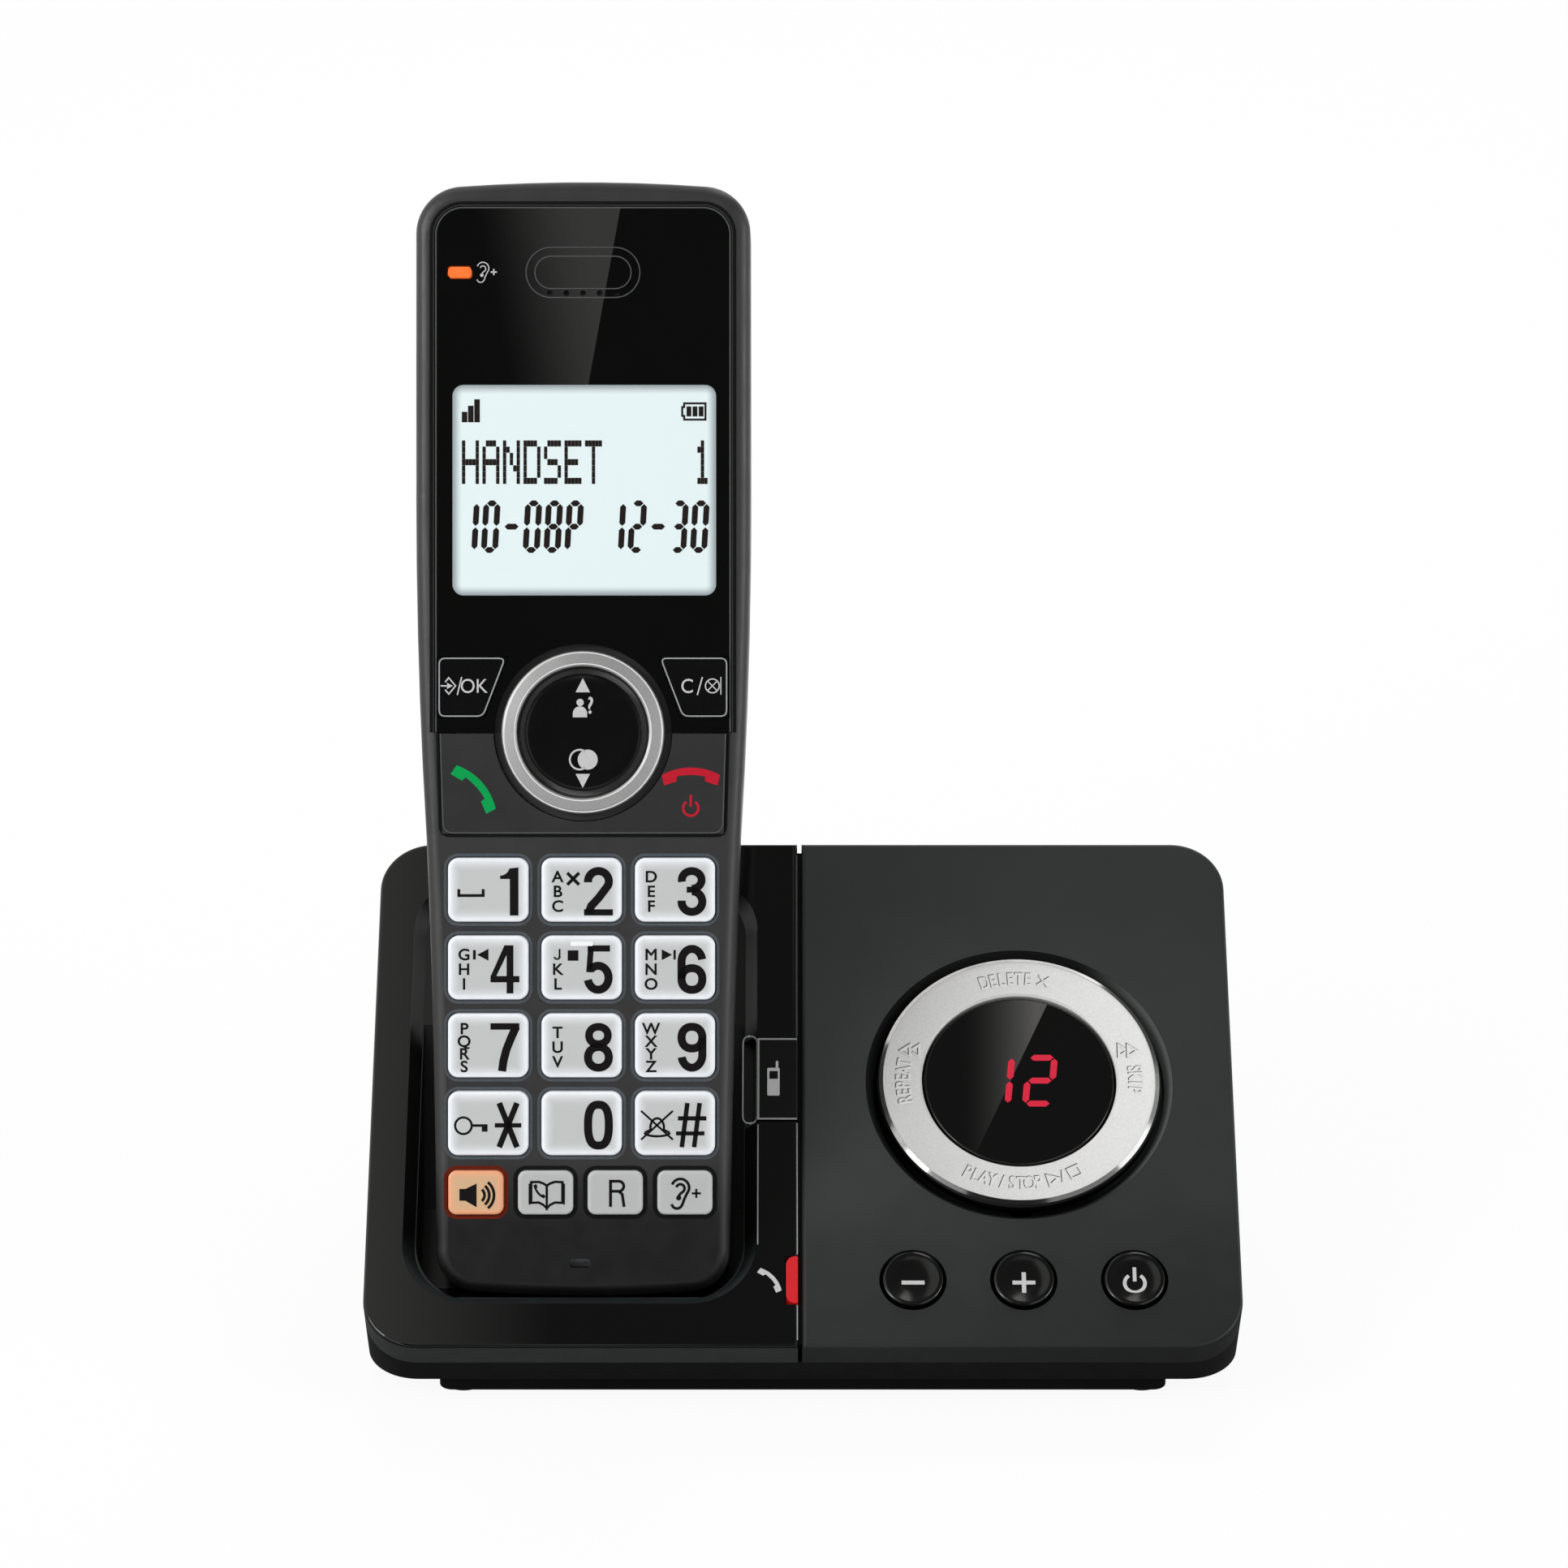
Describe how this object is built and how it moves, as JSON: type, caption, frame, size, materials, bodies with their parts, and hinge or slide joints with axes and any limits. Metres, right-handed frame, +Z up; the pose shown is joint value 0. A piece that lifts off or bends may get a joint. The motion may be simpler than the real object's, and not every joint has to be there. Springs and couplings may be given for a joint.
{
  "type": "answering machine",
  "caption": "Cordless telephone base with a built-in answering machine, message counter and ring key, and its big-button handset standing in the cradle",
  "frame": {"origin": "middle of the bottom of the bounding box, on the table under the feet", "axes": "+X to the object's right seen from the front, -Y towards the user, +Z up"},
  "size_m": [0.13, 0.0924, 0.1657],
  "materials": {
    "handset_case": "fine satin, moulded in dark warm grey",
    "cradle_gloss": "piano black, high gloss",
    "panel_satin": "satin charcoal",
    "housing_black": "satin black",
    "lens_black": "clear window in a black printed panel, high gloss",
    "ring_metal": "bead blasted",
    "bright_trim": "bright",
    "key_light": "translucent light grey, lit from behind",
    "key_orange": "translucent, lit orange",
    "key_black": "high gloss black",
    "talk_plate": "fine satin dark grey",
    "light_red": "clear red, lit",
    "light_orange": "clear orange, lit",
    "display_glow": "backlit liquid crystal display",
    "counter_red": "red seven-segment digits in a black case",
    "circuit_board": "green solder mask",
    "membrane_rubber": "milky silicone",
    "speaker_metal": "satin",
    "contact_brass": "plated",
    "screw_steel": "zinc plated",
    "foot_rubber": "matte",
    "socket_black": "moulded",
    "cell_wrap": "plain printed sleeve"
  },
  "bodies": {
    "base": {"base_bottom_housing": "housing_black", "cradle_cover": "cradle_gloss", "control_panel": "panel_satin", "display_window": "lens_black", "message_counter": "counter_red", "base_circuit_board": "circuit_board", "circuit_board_screws": "screw_steel", "base_loudspeaker": "speaker_metal", "base_tact_switches": "socket_black", "line_socket": "socket_black", "power_socket": "socket_black", "base_feet": "foot_rubber", "base_screws": "screw_steel", "base_charging_contacts": "contact_brass", "in_use_light": "light_red"},
    "handset": {"handset_front_case": "handset_case", "handset_rear_case": "handset_case", "display_lens": "lens_black", "lcd_module": "display_glow", "handset_circuit_board": "circuit_board", "keypad_membrane": "membrane_rubber", "earpiece_speaker": "speaker_metal", "handset_loudspeaker": "speaker_metal", "microphone": "speaker_metal", "battery_cells": "cell_wrap", "battery_contacts": "contact_brass", "handset_charging_contacts": "contact_brass", "handset_screws": "screw_steel", "boost_light": "light_orange", "navigation_ring_trim": "bright_trim", "battery_door": "handset_case"},
    "ring_carrier": {"ring_key_carrier": "socket_black"},
    "ring": {"ring_key": "ring_metal", "ring_key_trim": "bright_trim"},
    "volume_down_button": {"volume_down_button": "key_black"},
    "volume_up_button": {"volume_up_button": "key_black"},
    "answer_on_off_button": {"answer_on_off_button": "key_black"},
    "find_handset_key": {"find_handset_key": "key_black"},
    "navigation_key": {"navigation_key": "key_black"},
    "talk_end_key": {"talk_end_key": "talk_plate"},
    "ok_soft_key": {"ok_soft_key": "key_black"},
    "clear_soft_key": {"clear_soft_key": "key_black"},
    "key_0": {"key_0": "key_light"},
    "key_1": {"key_1": "key_light"},
    "key_2": {"key_2": "key_light"},
    "key_3": {"key_3": "key_light"},
    "key_4": {"key_4": "key_light"},
    "key_5": {"key_5": "key_light"},
    "key_6": {"key_6": "key_light"},
    "key_7": {"key_7": "key_light"},
    "key_8": {"key_8": "key_light"},
    "key_9": {"key_9": "key_light"},
    "key_star": {"key_star": "key_light"},
    "key_hash": {"key_hash": "key_light"},
    "speaker_key": {"speaker_key": "key_orange"},
    "phonebook_key": {"phonebook_key": "key_light"},
    "recall_key": {"recall_key": "key_light"},
    "boost_key": {"boost_key": "key_light"}
  },
  "joints": [
    {"name": "handset_lift", "type": "slide", "parent": "base", "child": "handset", "axis": [0, 0.4226, 0.9063], "range_m": [0, 0.13]},
    {"name": "ring_rock_front_back", "type": "hinge", "parent": "base", "child": "ring_carrier", "pos_m": [0.03268, -0.00699, 0.03323], "axis": [1, 0, 0], "range_deg": [-1.8, 1.8], "stiffness_Nm_per_rad": 1.2},
    {"name": "ring_rock_side", "type": "hinge", "parent": "ring_carrier", "child": "ring", "pos_m": [0.03268, -0.00808, 0.0349], "axis": [0, 0.8387, 0.5446], "range_deg": [-1.8, 1.8], "stiffness_Nm_per_rad": 1.2},
    {"name": "navigation_rock", "type": "hinge", "parent": "handset", "child": "navigation_key", "pos_m": [-0.0325, -0.00101, 0.09101], "axis": [1, 0, 0], "range_deg": [-3, 3], "stiffness_Nm_per_rad": 0.2},
    {"name": "talk_end_rock", "type": "hinge", "parent": "handset", "child": "talk_end_key", "pos_m": [-0.0325, -0.00697, 0.07824], "axis": [0, 0.4226, 0.9063], "range_deg": [-1.2, 1.2], "stiffness_Nm_per_rad": 0.9},
    {"name": "volume_down_button_press", "type": "slide", "parent": "base", "child": "volume_down_button", "axis": [0, 0.5446, -0.8387], "range_m": [0, 0.0008], "stiffness_N_per_m": 500},
    {"name": "volume_up_button_press", "type": "slide", "parent": "base", "child": "volume_up_button", "axis": [0, 0.5446, -0.8387], "range_m": [0, 0.0008], "stiffness_N_per_m": 500},
    {"name": "answer_on_off_button_press", "type": "slide", "parent": "base", "child": "answer_on_off_button", "axis": [0, 0.5446, -0.8387], "range_m": [0, 0.0008], "stiffness_N_per_m": 500},
    {"name": "find_handset_key_press", "type": "slide", "parent": "base", "child": "find_handset_key", "axis": [0, 0.5446, -0.8387], "range_m": [0, 0.0008], "stiffness_N_per_m": 500},
    {"name": "ok_soft_key_press", "type": "slide", "parent": "handset", "child": "ok_soft_key", "axis": [0, 0.9063, -0.4226], "range_m": [0, 0.0008], "stiffness_N_per_m": 500},
    {"name": "clear_soft_key_press", "type": "slide", "parent": "handset", "child": "clear_soft_key", "axis": [0, 0.9063, -0.4226], "range_m": [0, 0.0008], "stiffness_N_per_m": 500},
    {"name": "key_0_press", "type": "slide", "parent": "handset", "child": "key_0", "axis": [0, 0.9063, -0.4226], "range_m": [0, 0.0008], "stiffness_N_per_m": 500},
    {"name": "key_1_press", "type": "slide", "parent": "handset", "child": "key_1", "axis": [0, 0.9063, -0.4226], "range_m": [0, 0.0008], "stiffness_N_per_m": 500},
    {"name": "key_2_press", "type": "slide", "parent": "handset", "child": "key_2", "axis": [0, 0.9063, -0.4226], "range_m": [0, 0.0008], "stiffness_N_per_m": 500},
    {"name": "key_3_press", "type": "slide", "parent": "handset", "child": "key_3", "axis": [0, 0.9063, -0.4226], "range_m": [0, 0.0008], "stiffness_N_per_m": 500},
    {"name": "key_4_press", "type": "slide", "parent": "handset", "child": "key_4", "axis": [0, 0.9063, -0.4226], "range_m": [0, 0.0008], "stiffness_N_per_m": 500},
    {"name": "key_5_press", "type": "slide", "parent": "handset", "child": "key_5", "axis": [0, 0.9063, -0.4226], "range_m": [0, 0.0008], "stiffness_N_per_m": 500},
    {"name": "key_6_press", "type": "slide", "parent": "handset", "child": "key_6", "axis": [0, 0.9063, -0.4226], "range_m": [0, 0.0008], "stiffness_N_per_m": 500},
    {"name": "key_7_press", "type": "slide", "parent": "handset", "child": "key_7", "axis": [0, 0.9063, -0.4226], "range_m": [0, 0.0008], "stiffness_N_per_m": 500},
    {"name": "key_8_press", "type": "slide", "parent": "handset", "child": "key_8", "axis": [0, 0.9063, -0.4226], "range_m": [0, 0.0008], "stiffness_N_per_m": 500},
    {"name": "key_9_press", "type": "slide", "parent": "handset", "child": "key_9", "axis": [0, 0.9063, -0.4226], "range_m": [0, 0.0008], "stiffness_N_per_m": 500},
    {"name": "key_star_press", "type": "slide", "parent": "handset", "child": "key_star", "axis": [0, 0.9063, -0.4226], "range_m": [0, 0.0008], "stiffness_N_per_m": 500},
    {"name": "key_hash_press", "type": "slide", "parent": "handset", "child": "key_hash", "axis": [0, 0.9063, -0.4226], "range_m": [0, 0.0008], "stiffness_N_per_m": 500},
    {"name": "speaker_key_press", "type": "slide", "parent": "handset", "child": "speaker_key", "axis": [0, 0.9063, -0.4226], "range_m": [0, 0.0008], "stiffness_N_per_m": 500},
    {"name": "phonebook_key_press", "type": "slide", "parent": "handset", "child": "phonebook_key", "axis": [0, 0.9063, -0.4226], "range_m": [0, 0.0008], "stiffness_N_per_m": 500},
    {"name": "recall_key_press", "type": "slide", "parent": "handset", "child": "recall_key", "axis": [0, 0.9063, -0.4226], "range_m": [0, 0.0008], "stiffness_N_per_m": 500},
    {"name": "boost_key_press", "type": "slide", "parent": "handset", "child": "boost_key", "axis": [0, 0.9063, -0.4226], "range_m": [0, 0.0008], "stiffness_N_per_m": 500}
  ]
}
